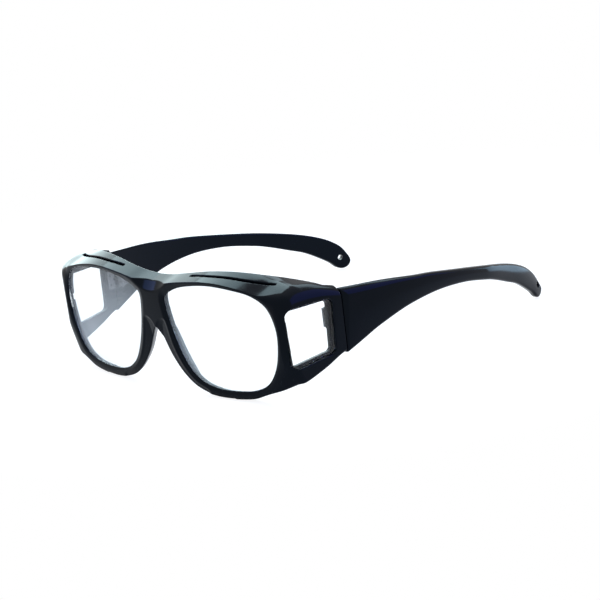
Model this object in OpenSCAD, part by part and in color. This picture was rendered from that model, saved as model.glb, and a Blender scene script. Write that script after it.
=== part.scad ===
// Wraparound cycling glasses with clear lenses, side windows and folding temples.
// The glasses rest on a table as worn: +Z up, the front faces -Y, the wearer's left is +X.
// Heights are measured from the table. Depths are measured from the bridge, then the whole
// part is moved forward so that its origin lies at the middle of the footprint.

/* [Front] */
// Radius of the front face, seen from above
front_r = 297; // [220:1:450]
// Lean of the front face, its lower edge further back, in degrees
front_lean = 2.1; // [0:0.1:4]
// Thickness of the rims and side walls
wall_t = 4; // [3.7:0.1:4.4]
// Radius of the corner between front and side, seen from above
corner_r = 6; // [5:0.1:7.5]
// Distance from a lens opening out to the side wall's outer face at the hinge seam
side_reach = 8.5; // [7.6:0.1:10.9]
// Depth from the bridge face back to the hinge seam
seam_y = 36.4; // [35:0.2:40]
// Flare of the side walls, in degrees
side_flare = 5.8; // [4:0.1:7]
// Height of the lower edge at the front corner
corner_low_z = 7.6; // [6:0.1:9]
// Height of the lower edge of the side wall at the hinge seam
side_low_z = 15.3; // [14:0.1:17]
// Depth of the top of the nose arch below the top of the lens openings
arch_drop = 20.7; // [18:0.1:22.5]

/* [Lenses] */
// Width of the clear lens opening
lens_w = 57.4; // [55:0.1:58.5]
// Height of the clear lens opening
lens_h = 43.6; // [41:0.1:46]
// Least distance between the two lens openings
bridge_w = 15.4; // [14:0.1:17]
// Thickness of each front lens
lens_t = 2; // [1.6:0.1:2.2]
// Depth of the rim in front of the lens
lip_t = 1.2; // [0.8:0.1:1.4]
// Width of the rim that covers the lens edge
lip_w = 1; // [0.6:0.1:1.2]
// Clearance round a lens in its seat
lens_gap = 0.05; // [0.02:0.01:0.1]

/* [Rims] */
// Width of the rim below the lens
rim_low = 3.1; // [2.4:0.1:4]
// Width of the rim beside the nose
rim_nose = 7.9; // [6:0.1:8.5]
// Height of the brow ridge above the lens opening
brow_rise = 1.2; // [1:0.1:2]

/* [Brow] */
// Upward slope of the brow towards the back, in degrees
brow_slope = 16; // [12:0.5:18]
// Thickness of the brow
brow_t = 2; // [1.6:0.1:2.4]
// Depth of the brow behind the bridge
brow_depth = 7.2; // [6.5:0.1:9]
// Depth of the brow's outer edge, at the front corner, below the top of the lens openings
side_drop = 1.8; // [0.2:0.1:2.7]
// Fall of the brow towards the sides, in degrees
side_fall = 13; // [10:0.5:15]
// Width of the vent slots in the brow
slot_w = 1.2; // [0.8:0.1:1.6]
// Distance from the front face back to a vent slot
slot_setback = 5; // [4.8:0.1:5.6]
// Depth of the lowest point of the scoop on the bridge below the top of the lens openings
facet_drop = 4.1; // [3.7:0.1:5.7]
// Radius of the scoop
facet_r = 26; // [24:1:44]
// Backward slope of the scoop, in degrees
facet_slope = 30; // [24:1:36]

/* [Side windows] */
// Length of the side window
window_len = 23; // [19:0.1:23.4]
// Height of the side window
window_h = 24.6; // [22:0.1:25.5]
// Height of the window's lower edge
window_z = 14.4; // [13.8:0.1:15.5]
// Distance of the window's front edge ahead of the middle of the front corner
window_lead = 4.4; // [2.9:0.1:4.6]
// Thickness of each side lens
side_lens_t = 1.5; // [1.2:0.1:1.8]
// Depth of the side lens below the outer face
side_lens_set = 0.6; // [0.4:0.1:0.8]
// Width of the ledge that holds the side lens
ledge_w = 1.1; // [0.8:0.1:1.4]

/* [Nose bearing] */
// Depth of the nose bearing behind the bridge face
nose_depth = 6.2; // [5:0.1:8]
// Thickness of the nose bearing
nose_t = 2; // [1.6:0.1:2.4]
// Flare of the nose bearing towards the back, in degrees
nose_flare = 31; // [24:0.5:33]

/* [Hinges] */
// Height of the middle of each hinge
hinge_z = 29.5; // [28.5:0.1:31]
// Thickness of the material behind each hinge leaf
block_t = 6; // [5.6:0.1:6.4]
// Radius of the knuckles
knuckle_r = 1.6; // [1.5:0.05:1.8]
// Radius of the hinge pin
pin_r = 0.8; // [0.7:0.05:0.9]
// Height of each knuckle
knuckle_h = 2.5; // [2:0.1:2.8]
// Thickness of the hinge leaves
leaf_t = 1; // [0.8:0.05:1.1]
// Play between the knuckles along the pin
knuckle_play = 0.15; // [0.1:0.05:0.3]
// Gap between parts that turn past each other
hinge_gap = 0.3; // [0.25:0.05:0.4]
// Radial clearance of the hinge pin
pin_gap = 0.05; // [0.02:0.01:0.08]
// Gap at the hinge seam with the temples open
seam_gap = 0.3; // [0.2:0.05:0.5]
// Radius of the leaf screws
screw_r = 0.6; // [0.5:0.05:0.7]
// Length of the leaf screws in the plastic
screw_len = 3.4; // [2.5:0.1:3.8]

/* [Temples] */
// Length of each temple from the seam
temple_len = 131.6; // [125:0.2:140]
// Thickness of each temple
temple_t = 3.6; // [3.2:0.1:4.2]
// Radius of the temples, seen from above
temple_r = 228; // [205:1:250]
// Distance from the seam back to the widest point
temple_belly = 43.6; // [38:0.2:48]
// Depth of the temple's upper edge at the seam below the brow's outer edge
temple_drop = 4; // [2.9:0.1:5.4]
// Height of the temple's lower edge at the seam
temple_low_z = 14.1; // [13:0.1:15]
// Radius of the lanyard hole
hole_r = 1.25; // [1:0.05:1.5]
// Distance from the temple's end forward to the lanyard hole
hole_inset = 4.6; // [4:0.1:7]
// Height of the lanyard hole
hole_z = 5.7; // [4.6:0.1:6.2]

/* [Hidden] */

frame_colour = [0.05, 0.05, 0.08];
lens_colour = [0.86, 0.93, 0.92, 0.35];
metal_colour = [0.72, 0.72, 0.74];

lens_x = bridge_w / 2;
seam_x = lens_x + lens_w + side_reach;
lens_top = rim_low + lens_h;
side_top_z = lens_top - side_drop;
temple_top_z = side_top_z - temple_drop;
arch_z = lens_top - arch_drop;
facet_z = lens_top - facet_drop;
lean_z = rim_low + lens_h / 2;
temple_end_y = seam_y + temple_len;
// Foremost point of the part, where the brow ridge leaves the bridge facet
ridge_lead = 0.59;
mid_y = (temple_end_y - ridge_lead) / 2;
big = 240;
spline_steps = 4;
// Overlap that keeps a cut clear of the face it goes through
spare = 1;
front_steps = 10;
arc_steps = 8;
corner_steps = 5;

// Point on a lens opening, from its share of the opening's width and height
function lens_point(s) = [lens_x + s[0] * lens_w, rim_low + s[1] * lens_h];

lens_shares = [
    [0, 0.8], [0.055, 0.89], [0.2, 0.962], [0.44, 1], [0.68, 0.977], [0.84, 0.93],
    [0.95, 0.82], [1, 0.6], [0.965, 0.32], [0.88, 0.12], [0.75, 0.031], [0.57, 0.0026],
    [0.4, 0.0086], [0.25, 0.066], [0.14, 0.205], [0.05, 0.475]
];

// Smooth curve through points, as on a drawing: a cubic between each two neighbours
function cubic(a, b, c, d, t) =
    b + t * (c - a) / 2 + t * t * (a - 2.5 * b + 2 * c - d / 2)
    + t * t * t * (1.5 * (b - c) + (d - a) / 2);
function closed_curve(p, n = spline_steps) = [
    for (i = [0 : len(p) - 1], k = [0 : n - 1])
        cubic(p[(i + len(p) - 1) % len(p)], p[i], p[(i + 1) % len(p)], p[(i + 2) % len(p)], k / n)
];
function open_curve(p, n = spline_steps) = concat(
    [
        for (i = [0 : len(p) - 2], k = [0 : n - 1])
            cubic(p[max(i - 1, 0)], p[i], p[i + 1], p[min(i + 2, len(p) - 1)], k / n)
    ],
    [p[len(p) - 1]]
);

// Outward direction at a point of a clockwise outline
function unit(v) = v / norm(v);
function outward(p, i) =
    let (t = unit(p[(i + 1) % len(p)] - p[(i + len(p) - 1) % len(p)])) [-t[1], t[0]];
// A clockwise outline grown by d all round
function grow(p, d) = [for (i = [0 : len(p) - 1]) p[i] + d * outward(p, i)];

lens_outline = closed_curve([for (s = lens_shares) lens_point(s)]);

// Height at which the rim beside the nose is widest, as a share of the opening's height
nose_rim_share = 0.49;
// Width of the rim under and beside a point of the lens opening, widest beside the nose
function rim_width(p) =
    let (share = max(0, p[1] - rim_low) / lens_h, nose_side = p[0] < lens_x + lens_w / 2)
    nose_side ? rim_low + (rim_nose - rim_low) * sin(90 * min(1, share / nose_rim_share)) : rim_low;
// Where along the lens outline the rim's lower edge and the nose bearing begin and end
rim_first = 10 * spline_steps;
nose_first = 12.5 * spline_steps;
nose_last = 15 * spline_steps;
function rim_edge(i, inset = 0) =
    lens_outline[i] + (rim_width(lens_outline[i]) - inset) * outward(lens_outline, i);

// Lower edge of the front, from outside the corner in to the nose arch
corner_edge = open_curve([
    [seam_x + 8, corner_low_z + 1.6], [seam_x - 3, corner_low_z + 0.2],
    [lens_x + 0.9 * lens_w, corner_low_z - 3.3], rim_edge(rim_first)
]);
low_edge = concat(
    [for (i = [0 : len(corner_edge) - 2]) corner_edge[i]],
    [for (i = [rim_first : nose_last]) rim_edge(i)],
    [[1.1, arch_z - 0.5], [0, arch_z]]
);

// Brow ridge over the front: share of the opening's width, drop below its highest point
ridge_drops = [
    [0, 2.3], [0.11, 1.3], [0.215, 0.6], [0.337, 0.05], [0.44, 0], [0.545, 0.4],
    [0.667, 1.5], [0.77, 2.9], [0.885, 4.9], [1, 5.9], [1.11, 6.9], [1.3, 8.6]
];
function ridge_point(x, drop) = [x, lens_top + brow_rise - drop];
ridge = open_curve(concat(
    [ridge_point(0, 2.9)],
    [for (d = ridge_drops) ridge_point(lens_x + d[0] * lens_w, d[1])]
), 3);

// Upper edge of the side wall from the front back: share of the depth, drop
side_drops = [
    [-0.5, -0.8], [0, -0.3], [0.33, 0], [0.52, 0.5], [0.73, 1.2], [0.9, 2.5], [1.03, 3.88], [1.2, 6.2]
];
side_top = open_curve([for (d = side_drops) [d[0] * seam_y, side_top_z - d[1]]], 3);

// Lower edge of the side wall from the corner back: shares of its length and rise
side_low_y = 10;
side_low_shares = [
    [0, -0.06], [0.24, 0.1], [0.44, 0.3], [0.64, 0.53], [0.78, 0.74], [0.92, 0.93], [1.04, 1.02]
];
side_low = open_curve([
    for (s = side_low_shares)
        [side_low_y + s[0] * (seam_y - side_low_y), corner_low_z + s[1] * (side_low_z - corner_low_z)]
]);

// Back edge of the brow from above: share of the half width, distance behind its middle
brow_back_points = [
    [0, 0], [0.2, -0.1], [0.35, 1.4], [0.49, 3.6], [0.61, 6.5], [0.705, 10.1], [0.79, 14.8],
    [0.87, 19.4], [0.95, 24.2]
];
brow_back = open_curve([for (p = brow_back_points) [p[0] * seam_x, brow_depth + p[1]]], 3);

// Middle line of a vent slot: share of the half width, distance behind its inner end
slot_points = [[0.27, 0], [0.41, 0.6], [0.545, 2.2], [0.68, 5], [0.815, 9.6]];
slot_line = open_curve([for (p = slot_points) [p[0] * seam_x, slot_setback + p[1]]], 3);

// Centre of the corner's arc: inside both the front circle and the side line
side_dir = [sin(side_flare), cos(side_flare)];
side_out = [cos(side_flare), -sin(side_flare)];
front_centre = [0, front_r];
from_centre = [seam_x, seam_y] - corner_r * side_out - front_centre;
along_side = -(from_centre * side_dir) - sqrt(
    pow(from_centre * side_dir, 2) - from_centre * from_centre + pow(front_r - corner_r, 2)
);
corner_centre = front_centre + from_centre + along_side * side_dir;
corner_from = asin(corner_centre[0] / (front_r - corner_r));
corner_turn = 90 - side_flare - corner_from;
function toward(a) = [sin(a), -cos(a)];

// Half of the outer skin seen from above, moved inwards by d
function half_plan(d) = concat(
    [for (k = [0 : front_steps]) front_centre + (front_r - d) * toward(corner_from * k / front_steps)],
    [for (k = [1 : arc_steps]) corner_centre + (corner_r - d) * toward(corner_from + corner_turn * k / arc_steps)],
    [[seam_x, seam_y] - d * side_out + 30 * side_dir]
);
// A half outline that starts or ends on the middle plane, with its mirror image
function both_halves(p) = concat(
    p, [for (i = [len(p) - 1 : -1 : 0]) if (p[i][0] > 0.001) [-p[i][0], p[i][1]]]
);

// Corners of a clockwise outline, moved outwards by d or rounded to a radius
function corner_normals(p, i) =
    let (a = unit(p[i] - p[(i + len(p) - 1) % len(p)]), b = unit(p[(i + 1) % len(p)] - p[i]))
    [[-a[1], a[0]], [-b[1], b[0]]];
function moved_corner(p, i, d) =
    let (n = corner_normals(p, i)) p[i] + d * (n[0] + n[1]) / (1 + n[0] * n[1]);
function moved(p, d) = [for (i = [0 : len(p) - 1]) moved_corner(p, i, d)];
function round_corner(p, i, r) =
    let (
        n = corner_normals(p, i), c = moved_corner(p, i, -r),
        a = atan2(n[0][1], n[0][0]), b = atan2(n[1][1], n[1][0]), turn = b > a ? b - 360 - a : b - a
    )
    [for (k = [0 : corner_steps]) c + r * [cos(a + turn * k / corner_steps), sin(a + turn * k / corner_steps)]];
function rounded(p, r) = [for (i = [0 : len(p) - 1]) each round_corner(p, i, r)];

// A band of width w along an open line
function line_side(p, i) =
    let (t = unit(p[min(i + 1, len(p) - 1)] - p[max(i - 1, 0)])) [-t[1], t[0]];
function band(p, w) = concat(
    [for (i = [0 : len(p) - 1]) p[i] + w / 2 * line_side(p, i)],
    [for (i = [len(p) - 1 : -1 : 0]) p[i] - w / 2 * line_side(p, i)]
);

// Side window in its seat: front top, back top, back bottom, front bottom
window_y = corner_centre[1] - window_lead;
window_corners = [
    for (s = [[0, 1], [1, 0.98], [0.965, 0.06], [0.01, -0.02]])
        [window_y + s[0] * window_len, window_z + s[1] * window_h]
];
window_r = 3;
// See-through part of the window: the ledge is wider at the corner of the frame
corner_ledge = 1.9;
through_corners = [
    for (i = [0 : 3]) moved_corner(window_corners, i, -ledge_w)
        + [i == 0 || i == 3 ? corner_ledge - ledge_w : 0, 0]
];

// Temple outline from the side: shares of its length and of its height at the seam
temple_front_y = seam_y + seam_gap;
temple_points = [
    [0.1, 0.9707], [0.2, 0.929], [0.3, 0.8778], [0.4, 0.8289], [0.58, 0.7066], [0.78, 0.5428],
    [0.89, 0.4156], [0.955, 0.2885], [0.988, 0.1663], [1, 0.0831], [0.992, 0.022], [0.974, 0],
    [0.953, 0.0244], [0.92, 0.1149], [0.84, 0.2641], [0.775, 0.3496], [0.7, 0.445], [0.64, 0.5086],
    [0.52, 0.6015], [0.39, 0.6381], [0.26, 0.6039], [0.14, 0.5086]
];
function temple_point(s, z) = [seam_y + s * temple_len, z];
temple_outline = open_curve(concat(
    [[temple_front_y, temple_top_z]],
    [for (s = temple_points) temple_point(s[0], s[1] * temple_top_z)],
    [temple_point(0.07, 1.234 * temple_low_z), [temple_front_y, temple_low_z]]
));
temple_centre = [seam_x - sqrt(pow(temple_r, 2) - pow(temple_belly, 2)), seam_y + temple_belly];
hole_turn = asin((temple_end_y - hole_inset - temple_centre[1]) / (temple_r - temple_t / 2));

// Hinge places
block_x = seam_x - block_t;
pivot = [block_x - hinge_gap - knuckle_r, seam_y + seam_gap / 2];
knuckle_pitch = knuckle_h + knuckle_play;
leaf_h = 2 * knuckle_pitch + knuckle_h;
leaf_edge = knuckle_r + hinge_gap;
front_block_len = 5.2;
front_block_y = seam_y - front_block_len;
front_leaf_y = front_block_y + 0.2;
front_screw_y = (front_leaf_y + pivot[1] - leaf_edge) / 2;
screw_inset = 1.6;
front_screws = [for (side = [-1, 1]) [front_screw_y, hinge_z + side * (leaf_h / 2 - screw_inset)]];
temple_leaf_y = pivot[1] + leaf_edge;
temple_leaf_len = 3.3;
temple_screws = [
    for (side = [-1, 1]) [temple_leaf_y + temple_leaf_len / 2, hinge_z + side * (leaf_h / 2 - screw_inset)]
];
// Leaf screws: clearance round the shaft and below its tip, head and slot
screw_gap = 0.03;
tip_gap = 0.2;
screw_head_t = 0.5;
screw_head_r = 1.7 * screw_r;
screw_slot_w = 0.3;
screw_slot_depth = 0.25;
// Hinge screw: how far it comes out below, its head and the slot in it
pin_out = 0.2;
pin_head_t = 0.7;
pin_head_r = knuckle_r - 0.25;
pin_slot_w = 0.4;
pin_slot_depth = 0.3;
// Height of the thicker material at the hinge, and its way back into the temple
block_margin = 0.6;
seam_block_h = leaf_h + 2 * block_margin;
boss_fade = 5;

module in_place() translate([0, -mid_y, 0]) children();
module mirrored() mirror([1, 0, 0]) children();
module leaning()
    translate([0, 0, lean_z]) rotate([front_lean, 0, 0]) translate([0, 0, -lean_z]) children();
// An outline seen from the front, through the whole depth
module from_front(p) rotate([90, 0, 0]) linear_extrude(big, center = true) polygon(p);
// An outline seen from the left side, from x0 outwards
module from_side(p, x0, width = 60)
    translate([x0, 0, 0]) rotate([90, 0, 90]) linear_extrude(width) polygon(p);
// A rod along X that starts at x0
module cross_rod(x0, length, r) translate([x0, 0, 0]) rotate([0, 90, 0]) cylinder(h = length, r = r, $fn = 32);

// Everything inside the outer skin moved inwards by d, and a layer of it
module skin(d) leaning() translate([0, 0, -20]) linear_extrude(big) polygon(both_halves(half_plan(d)));
module layer(d, t) difference() {
    skin(d);
    skin(d + t);
}

// Everything under the top surface, lowered by drop
module under_ridge() rotate([brow_slope, 0, 0]) from_front(both_halves(concat(
    [for (p = ridge) [p[0], p[1] * cos(brow_slope)]], [[ridge[len(ridge) - 1][0], -50]]
)));
module under_side() translate([seam_x - 2, 0, 0]) rotate([0, side_fall, 0]) from_side(concat(
    [for (p = side_top) [p[0], p[1] * cos(side_fall)]],
    [[side_top[len(side_top) - 1][0], -90], [side_top[0][0], -90]]
), -big, 1.5 * big);
module under_top(drop = 0) translate([0, 0, -drop]) intersection() {
    under_ridge();
    under_side();
    mirrored() under_side();
}

// Rims, bridge and side walls as one shell, and the brow that closes it on top
module shell() intersection() {
    layer(0, wall_t);
    from_front(both_halves(concat([[seam_x + 8, big]], low_edge)));
    under_top();
}
module brow() intersection() {
    skin(0);
    difference() {
        under_top();
        under_top(brow_t);
    }
    translate([0, 0, arch_z]) linear_extrude(big) polygon(both_halves(concat(
        [[0, -10], [seam_x + 5, -10], [seam_x + 5, brow_back[len(brow_back) - 1][1]]],
        [for (i = [len(brow_back) - 1 : -1 : 0]) brow_back[i]]
    )));
}

// Thicker material behind the front leaf of a hinge
module front_block() intersection() {
    translate([block_x, front_block_y, hinge_z - seam_block_h / 2])
        cube([block_t, front_block_len + spare, seam_block_h]);
    skin(wall_t / 2);
}

// An outline in the front face, carried back and outwards at the flare of the nose bearing
module flared(p) rotate([0, 0, -nose_flare]) from_front([for (q = p) [q[0] * cos(nose_flare), q[1]]]);
nose_arch = concat([for (i = [nose_first : nose_last]) rim_edge(i)], [[1.1, arch_z - 0.5], [0, arch_z]]);
module nose_side() intersection() {
    skin(1);
    flared(concat(
        nose_arch, [[0, arch_z + nose_t]],
        [for (i = [nose_last : -1 : nose_first]) rim_edge(i, nose_t)]
    ));
    from_side([
        [1, -1], [0.5 * nose_depth, 0.6], [0.76 * nose_depth, 4], [0.94 * nose_depth, 9],
        [nose_depth, 14], [nose_depth, arch_z + 5], [1, arch_z + 5]
    ], -1, 40);
}
module nose_web() translate([0, 0, arch_z]) linear_extrude(nose_t) polygon(both_halves([
    [0, 1], [2, 1], [1 + nose_depth * tan(nose_flare), nose_depth], [0, nose_depth]
]));
// The cut of one side, and the wedge that joins the two cuts under the top of the arch
nose_cut_y = 12;
module nose_cut() {
    intersection() {
        flared(concat(nose_arch, [[0, -10], [nose_arch[0][0], -10]]));
        translate([0, -10, -10]) cube([60, 30, arch_z + 10]);
    }
    translate([0, 0, -10]) linear_extrude(arch_z + 10) polygon(both_halves([
        [0, -spare / 2], [(nose_cut_y + spare / 2) * tan(nose_flare), nose_cut_y], [0, nose_cut_y]
    ]));
}

// Rounded and tapered outer corner, as an outline seen along its diagonal
corner_view = 48;
taper_z = 16;
taper = 0.22;
dome_r = 6;
dome_z = side_top_z - 6.3;
dome_turn = 66;
corner_reach = corner_centre * [cos(corner_view), -sin(corner_view)] + corner_r;
function dome_point(turn) = [corner_reach - dome_r, dome_z] + dome_r * [cos(turn), sin(turn)];
module corner_trim() rotate([0, 0, -corner_view]) from_front(concat(
    [[-big / 2, -10], dome_point(dome_turn) + 40 * [-sin(dome_turn), cos(dome_turn)] - [big / 2 - 10, 0]],
    [dome_point(dome_turn) + 40 * [-sin(dome_turn), cos(dome_turn)]],
    [for (k = [arc_steps : -1 : 0]) dome_point(dome_turn * k / arc_steps)],
    [[corner_reach, taper_z], [corner_reach - taper * (taper_z + 10), -10]]
));

// Clear opening of a front lens and the deeper seat behind it
module lens_opening() intersection() {
    from_front(lens_outline);
    skin(-2);
    translate([-big / 2, -20, 0]) cube([big, 40, big]);
}
module lens_seat() intersection() {
    from_front(grow(lens_outline, lip_w));
    layer(lip_t - lens_gap, wall_t - lip_t + 0.4);
    translate([-big / 2, -20, 0]) cube([big, 40, big]);
}

// Opening of a side window, with a seat on the outside for the side lens
module window_opening() {
    intersection() {
        from_side(rounded(window_corners, window_r), corner_centre[0] + 1);
        layer(-3, 3 + side_lens_set + side_lens_t + lens_gap);
    }
    from_side(rounded(through_corners, window_r - ledge_w), corner_centre[0] + 1);
}

module side_low_cut() from_side(concat(
    side_low, [[seam_y + 5, side_low_z + 1], [seam_y + 5, -9], [side_low_y, -9]]
), corner_centre[0] + 1);

module facet_cut() translate([0, 0, facet_z]) rotate([-facet_slope, 0, 0]) translate([0, -facet_r, 0])
    cylinder(h = 40, r = facet_r, center = true, $fn = 180);

module slot_cut() translate([0, 0, side_top_z - 5]) linear_extrude(big) polygon(band(slot_line, slot_w));

// Holes for leaf screws through a leaf and into the plastic to a depth
module leaf_screw_holes(screws, depth)
    for (s = screws) translate([0, s[0], s[1]])
        cross_rod(block_x - leaf_t - spare, depth + leaf_t + spare, screw_r + screw_gap);

module front_frame() color(frame_colour) in_place() difference() {
    union() {
        intersection() {
            union() {
                shell();
                brow();
                front_block();
                mirrored() front_block();
            }
            under_top();
            corner_trim();
            mirrored() corner_trim();
            translate([-big / 2, -20, -10]) cube([big, seam_y + 20, big]);
        }
        nose_side();
        mirrored() nose_side();
        nose_web();
    }
    facet_cut();
    front_cuts();
    mirrored() front_cuts();
}
module front_cuts() {
    nose_cut();
    lens_opening();
    lens_seat();
    window_opening();
    side_low_cut();
    slot_cut();
    leaf_screw_holes(front_screws, screw_len + tip_gap);
}

module lens() color(lens_colour) in_place() intersection() {
    from_front(grow(lens_outline, lip_w - lens_gap));
    layer(lip_t, lens_t);
    translate([-big / 2, -20, 0]) cube([big, 40, big]);
}
module side_lens() color(lens_colour) in_place() intersection() {
    from_side(rounded(moved(window_corners, -lens_gap), window_r - lens_gap), corner_centre[0] + 1);
    layer(side_lens_set, side_lens_t);
}

module temple() color(frame_colour) in_place() difference() {
    union() {
        intersection() {
            translate([temple_centre[0], temple_centre[1], 0]) difference() {
                cylinder(h = 60, r = temple_r, $fn = 360);
                translate([0, 0, -1]) cylinder(h = 62, r = temple_r - temple_t, $fn = 360);
            }
            from_side(temple_outline, 40, 60);
        }
        intersection() {
            translate([0, 0, hinge_z - seam_block_h / 2]) linear_extrude(seam_block_h) polygon([
                [block_x, temple_front_y], [block_x, temple_leaf_y + temple_leaf_len + hinge_gap],
                [seam_x - spare, temple_leaf_y + temple_leaf_len + boss_fade],
                [seam_x - temple_t / 2, temple_front_y]
            ]);
            translate([temple_centre[0], temple_centre[1], 0])
                cylinder(h = 60, r = temple_r - temple_t / 3, $fn = 360);
        }
    }
    leaf_screw_holes(temple_screws, screw_len + tip_gap);
    translate([temple_centre[0], temple_centre[1], hole_z]) rotate([0, 0, hole_turn])
        rotate([0, 90, 0]) translate([0, 0, temple_r - temple_t - 2])
        cylinder(h = temple_t + 4, r = hole_r, $fn = 60);
}

// Knuckle of a hinge at height z, with the arm that joins it to its leaf on one side
module knuckle(z, side) difference() {
    union() {
        translate([pivot[0], pivot[1], z]) cylinder(h = knuckle_h, r = knuckle_r, center = true, $fn = 48);
        translate([block_x - leaf_t, pivot[1] + (side < 0 ? -leaf_edge - 0.5 : 0.5), z - knuckle_h / 2])
            cube([leaf_t, leaf_edge, knuckle_h]);
    }
    translate([pivot[0], pivot[1], z]) cylinder(h = big, r = pin_r + pin_gap, center = true, $fn = 48);
}
module front_hinge_leaf() color(metal_colour) in_place() difference() {
    union() {
        translate([block_x - leaf_t, front_leaf_y, hinge_z - leaf_h / 2])
            cube([leaf_t, pivot[1] - leaf_edge - front_leaf_y, leaf_h]);
        knuckle(hinge_z - knuckle_pitch, -1);
        knuckle(hinge_z + knuckle_pitch, -1);
    }
    leaf_screw_holes(front_screws, spare);
}
module temple_hinge_leaf() color(metal_colour) in_place() difference() {
    union() {
        translate([block_x - leaf_t, temple_leaf_y, hinge_z - leaf_h / 2])
            cube([leaf_t, temple_leaf_len, leaf_h]);
        knuckle(hinge_z, 1);
    }
    leaf_screw_holes(temple_screws, spare);
}

module hinge_screw() color(metal_colour) in_place() translate([pivot[0], pivot[1], hinge_z]) difference() {
    union() {
        translate([0, 0, -leaf_h / 2 - pin_out]) cylinder(h = leaf_h + pin_out + 0.1, r = pin_r, $fn = 48);
        translate([0, 0, leaf_h / 2]) cylinder(h = pin_head_t, r = pin_head_r, $fn = 48);
    }
    translate([-knuckle_r, -pin_slot_w / 2, leaf_h / 2 + pin_head_t - pin_slot_depth])
        cube([2 * knuckle_r, pin_slot_w, spare]);
}

// A group of leaf screws, their slotted heads on the inner face of the leaf
module leaf_screw_group(screws) color(metal_colour) in_place() for (s = screws)
    translate([0, s[0], s[1]]) difference() {
        union() {
            cross_rod(block_x - leaf_t - 0.1, screw_len + leaf_t + 0.1, screw_r);
            cross_rod(block_x - leaf_t - screw_head_t, screw_head_t, screw_head_r);
        }
        translate([block_x - leaf_t - screw_head_t - spare, -screw_slot_w / 2, -spare - screw_head_r])
            cube([screw_slot_depth + spare, screw_slot_w, 2 * (screw_head_r + spare)]);
    }

front_frame();
lens();  // lens_left
mirrored() lens();  // lens_right
side_lens();  // side_lens_left
mirrored() side_lens();  // side_lens_right
temple();  // temple_left
mirrored() temple();  // temple_right
front_hinge_leaf();  // front_hinge_leaf_left
mirrored() front_hinge_leaf();  // front_hinge_leaf_right
temple_hinge_leaf();  // temple_hinge_leaf_left
mirrored() temple_hinge_leaf();  // temple_hinge_leaf_right
hinge_screw();  // hinge_screw_left
mirrored() hinge_screw();  // hinge_screw_right
leaf_screw_group(front_screws);  // front_leaf_screws_left
mirrored() leaf_screw_group(front_screws);  // front_leaf_screws_right
leaf_screw_group(temple_screws);  // temple_leaf_screws_left
mirrored() leaf_screw_group(temple_screws);  // temple_leaf_screws_right
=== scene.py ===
import math

import bpy
import numpy as np
from mathutils import Matrix, Vector


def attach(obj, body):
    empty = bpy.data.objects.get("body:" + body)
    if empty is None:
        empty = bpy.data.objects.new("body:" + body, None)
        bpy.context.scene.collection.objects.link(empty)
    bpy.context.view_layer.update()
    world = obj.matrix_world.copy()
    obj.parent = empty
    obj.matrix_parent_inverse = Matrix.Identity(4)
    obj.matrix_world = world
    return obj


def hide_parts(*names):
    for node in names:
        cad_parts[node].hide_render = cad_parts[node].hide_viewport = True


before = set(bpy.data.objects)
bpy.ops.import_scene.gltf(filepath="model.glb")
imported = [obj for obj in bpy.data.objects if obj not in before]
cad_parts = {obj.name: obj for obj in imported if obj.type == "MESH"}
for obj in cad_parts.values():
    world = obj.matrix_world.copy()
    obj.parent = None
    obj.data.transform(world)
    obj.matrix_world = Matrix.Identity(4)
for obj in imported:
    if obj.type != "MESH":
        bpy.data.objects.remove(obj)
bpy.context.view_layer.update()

# Sizes of the construction, in millimetres and radians, with WINDOW_Y rounded
FRONT_R, LEAN, WALL_T, CORNER_R = 297.0, math.radians(2.1), 4.0, 6.0
SEAM_X, SEAM_Y, SEAM_GAP, SIDE_FLARE = 73.6, 36.4, 0.3, math.radians(5.8)
CORNER_LOW_Z, SIDE_LOW_Y, SIDE_LOW_Z, ARCH_Z = 7.6, 10, 15.3, 26.0
LENS_W, LENS_H, BRIDGE_W, LENS_T = 57.4, 43.6, 15.4, 2.0
LIP_T, LIP_W, LENS_GAP = 1.2, 1.0, 0.05
RIM_LOW, RIM_NOSE, NOSE_RIM_SHARE, BROW_RISE = 3.1, 7.9, 0.49, 1.2
BROW_SLOPE, BROW_T, BROW_DEPTH = math.radians(16), 2.0, 7.2
SIDE_TOP_Z, SIDE_FALL, SLOT_SETBACK = 44.9, math.radians(13), 5.0
FACET_Z, FACET_R, FACET_SLOPE = 42.6, 26.0, math.radians(30)
WINDOW_LEN, WINDOW_H, WINDOW_Z, WINDOW_Y, WINDOW_R = 23.0, 24.6, 14.4, 9.01, 3.0
SIDE_LENS_T, SIDE_LENS_SET, LEDGE_W, CORNER_LEDGE = 1.5, 0.6, 1.1, 1.9
NOSE_DEPTH, NOSE_T, NOSE_FLARE = 6.2, 2.0, math.radians(31)
HINGE_Z, BLOCK_T, BLOCK_H, BLOCK_LEN, LEAF_EDGE, LEAF_LEN, BOSS_FADE = 29.5, 6.0, 9.0, 5.2, 1.9, 3.3, 5.0
TEMPLE_LEN, TEMPLE_T, TEMPLE_R, TEMPLE_BELLY = 131.6, 3.6, 228.0, 43.6
TEMPLE_TOP_Z, TEMPLE_LOW_Z = 40.9, 14.1
HOLE_R, HOLE_INSET, HOLE_Z = 1.25, 4.6, 5.7
CORNER_VIEW, DOME_R, DOME_Z, DOME_TURN = math.radians(48), 6.0, 38.6, math.radians(66)
RIDGE_LEAD = 0.59
LENS_X = BRIDGE_W / 2
LENS_TOP = RIM_LOW + LENS_H
LEAN_Z = RIM_LOW + LENS_H / 2
BLOCK_X = SEAM_X - BLOCK_T
TEMPLE_END = SEAM_Y + TEMPLE_LEN
TEMPLE_Y = SEAM_Y + SEAM_GAP
MID_Y = (TEMPLE_END - RIDGE_LEAD) / 2

# Slot width and corner taper, which differ a little from the construction's
SLOT_W, TAPER_Z, TAPER = 1.35, 17.0, 0.3

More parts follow.
